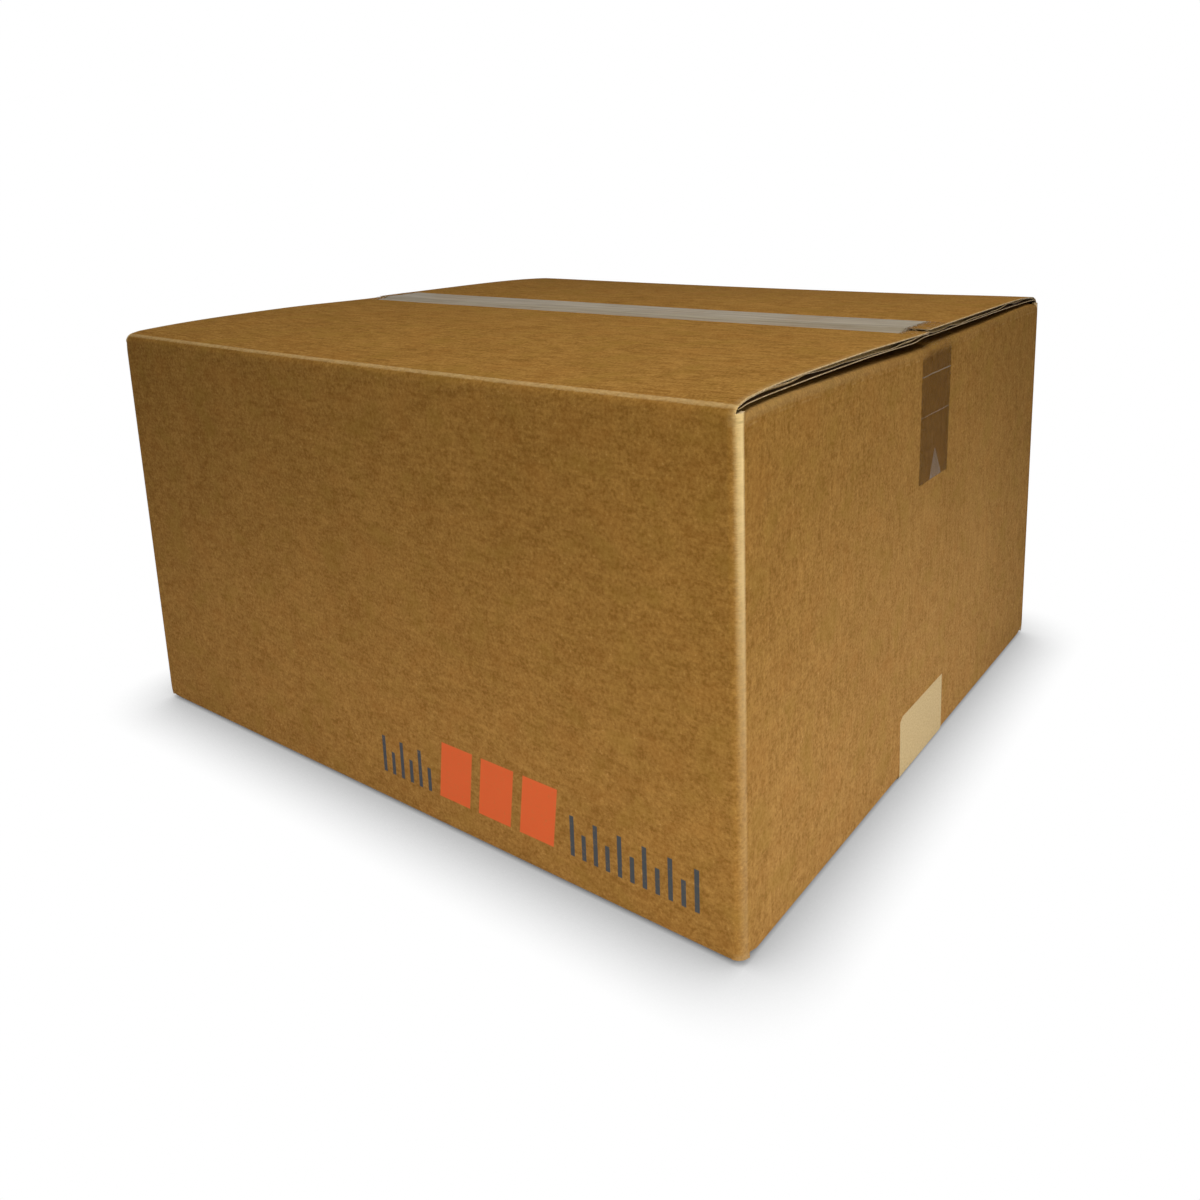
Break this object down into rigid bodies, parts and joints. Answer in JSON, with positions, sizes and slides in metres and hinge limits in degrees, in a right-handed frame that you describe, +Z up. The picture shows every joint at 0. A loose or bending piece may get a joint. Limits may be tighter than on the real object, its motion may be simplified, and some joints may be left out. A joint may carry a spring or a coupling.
{
  "type": "closed cardboard box",
  "caption": "Closed corrugated carton with folded flaps, clear film tape over the top seam and gummed paper tape over the bottom seam.",
  "frame": {"origin": "on the floor under the middle of the box", "axes": "+X along the long front panel, -Y out of the front panel, +Z up"},
  "size_m": [0.5084, 0.457, 0.2833],
  "materials": {
    "board": "matt brown kraft liner",
    "film": "clear, satin",
    "gummed_paper": "matt pale kraft"
  },
  "bodies": {
    "root": {"carton": "board", "top_tape": "film", "bottom_tape": "gummed_paper"}
  },
  "joints": []
}
